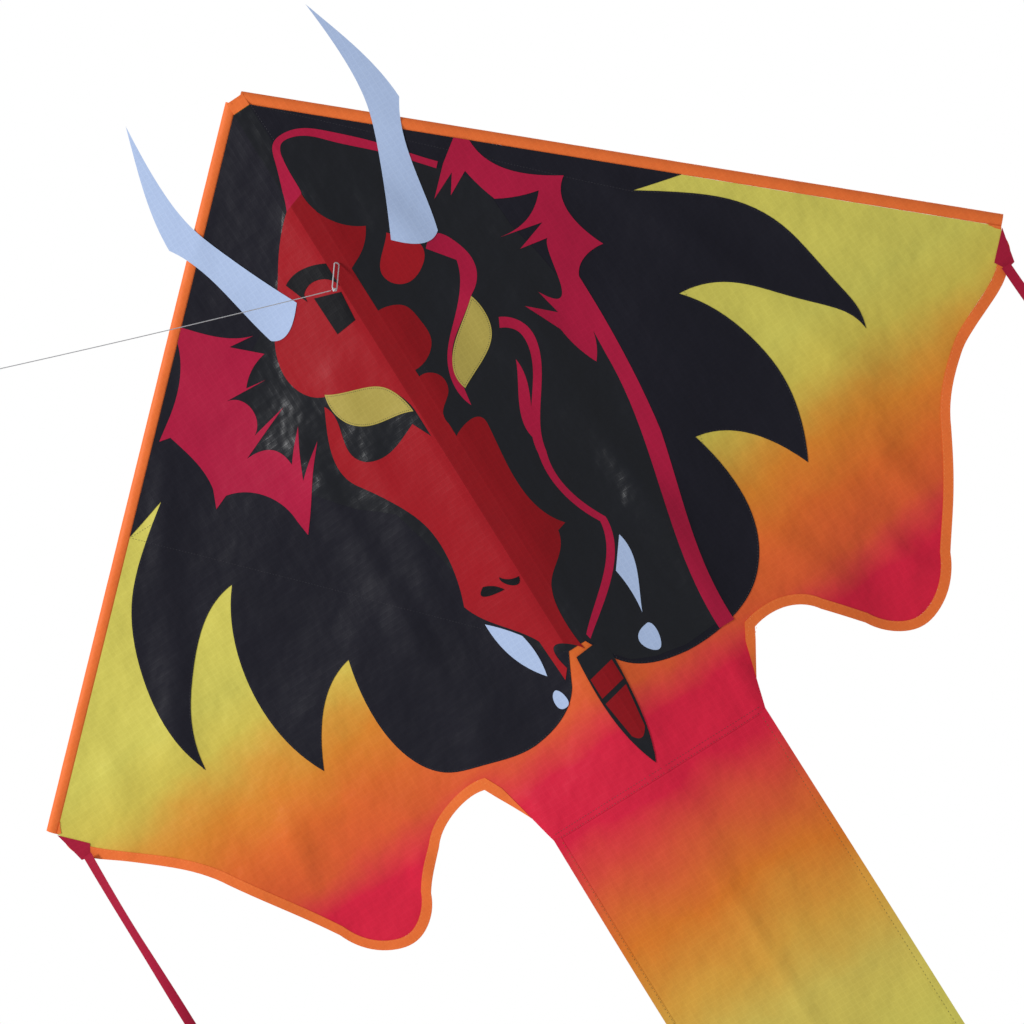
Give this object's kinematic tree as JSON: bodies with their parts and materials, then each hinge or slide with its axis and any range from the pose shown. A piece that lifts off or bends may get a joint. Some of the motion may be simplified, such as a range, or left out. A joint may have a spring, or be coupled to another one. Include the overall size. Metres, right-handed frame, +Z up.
{
  "type": "dragon delta kite",
  "caption": "Single-line delta kite with a sewn dragon face, free-standing horns, scalloped trailing edge, long tail panel, wing-tip streamers, spars and a taut flying line.",
  "frame": {"origin": "on the spine, on the front face of the sail, where the tow loop is sewn", "axes": "+Z up the spine to the nose, +X to the right as the front is seen, -Y out of the front, towards the flyer"},
  "size_m": [1.162, 0.3564, 2.331],
  "materials": {
    "sail_cloth": "dyed rip-stop, yellow to magenta",
    "black_cloth": "satin coated rip-stop",
    "red_cloth": "satin coated rip-stop",
    "yellow_cloth": "satin coated rip-stop",
    "pale_cloth": "satin stiffened cloth",
    "orange_binding": "folded tape",
    "red_ribbon": "satin ribbon",
    "white_cord": "twisted cord",
    "fibreglass": "smooth pultruded rod",
    "black_vinyl": "matte moulded"
  },
  "bodies": {
    "spine": {"centre_crest": "red_cloth", "centre_face": "red_cloth", "centre_mane": "black_cloth", "centre_strip": "sail_cloth", "centre_tongue": "black_cloth", "centre_tongue_stripes": "red_cloth", "nose_patch": "orange_binding", "spine_sleeve": "sail_cloth", "spine_spar": "fibreglass", "spine_spar_caps": "black_vinyl"},
    "flying_line": {"flying_line": "white_cord", "line_end_knot": "white_cord"},
    "left_wing": {"left_binding": "orange_binding", "left_black_marks": "black_cloth", "left_crest": "red_cloth", "left_ear": "red_cloth", "left_eye": "yellow_cloth", "left_face": "red_cloth", "left_fang": "pale_cloth", "left_horn": "pale_cloth", "left_mane": "black_cloth", "left_sail": "sail_cloth", "left_sleeve": "orange_binding", "left_small_tooth": "pale_cloth", "left_spar": "fibreglass", "left_spar_caps": "black_vinyl", "left_spreader_fitting": "black_vinyl", "left_tip_tab": "red_ribbon"},
    "left_streamer": {"left_streamer": "red_ribbon"},
    "right_wing": {"right_binding": "orange_binding", "right_brow_band": "red_cloth", "right_cheek_blob": "red_cloth", "right_crest": "red_cloth", "right_ear": "red_cloth", "right_eye": "yellow_cloth", "right_face": "red_cloth", "right_fang": "pale_cloth", "right_horn": "pale_cloth", "right_mane": "black_cloth", "right_mouth_lines": "red_cloth", "right_sail": "sail_cloth", "right_sleeve": "orange_binding", "right_small_tooth": "pale_cloth", "right_spar": "fibreglass", "right_spar_caps": "black_vinyl", "right_spreader_fitting": "black_vinyl", "right_tip_tab": "red_ribbon", "right_tongue": "black_cloth", "right_tongue_stripes": "red_cloth"},
    "right_streamer": {"right_streamer": "red_ribbon"},
    "spreader": {"spreader": "fibreglass"},
    "tail": {"tail_hem_end": "sail_cloth", "tail_hem_left": "sail_cloth", "tail_hem_right": "sail_cloth", "tail_panel": "sail_cloth"},
    "tow_loop": {"tow_knot": "white_cord", "tow_loop": "white_cord"}
  },
  "joints": [
    {"name": "left_wing_fold", "type": "hinge", "parent": "spine", "child": "left_wing", "pos_m": [-0.0095, 0.006, 0], "axis": [0, 0, -1], "range_deg": [0, 75]},
    {"name": "right_wing_fold", "type": "hinge", "parent": "spine", "child": "right_wing", "pos_m": [0.0095, 0.006, 0], "axis": [0, 0, 1], "range_deg": [0, 75]},
    {"name": "spreader_lift", "type": "slide", "parent": "spine", "child": "spreader", "axis": [0, 1, 0], "range_m": [0, 0.79]},
    {"name": "tail_swing", "type": "hinge", "parent": "spine", "child": "tail", "pos_m": [0, -0.0003, -0.6065], "axis": [1, 0, 0], "range_deg": [-20, 45]},
    {"name": "left_streamer_swing", "type": "hinge", "parent": "left_wing", "child": "left_streamer", "pos_m": [-0.55413, 0.05604, -0.36575], "axis": [0.9945, -0.1045, 0], "range_deg": [-50, 0]},
    {"name": "right_streamer_swing", "type": "hinge", "parent": "right_wing", "child": "right_streamer", "pos_m": [0.55413, 0.05604, -0.36575], "axis": [0.9945, 0.1045, 0], "range_deg": [-50, 0]},
    {"name": "tow_loop_pitch", "type": "hinge", "parent": "spine", "child": "tow_loop", "pos_m": [-0.001, -0.0045, -0.003], "axis": [1, 0, 0], "range_deg": [-35, 25]},
    {"name": "line_yaw", "type": "hinge", "parent": "tow_loop", "child": "flying_line", "pos_m": [-0.014, -0.024, -0.028], "axis": [0, 0, 1], "range_deg": [-15, 80]}
  ],
  "couplings": [
    {"joint": "right_wing_fold", "follows": "left_wing_fold", "ratio": 1},
    {"joint": "spreader_lift", "follows": "left_wing_fold", "m_per_rad": 0.6}
  ]
}
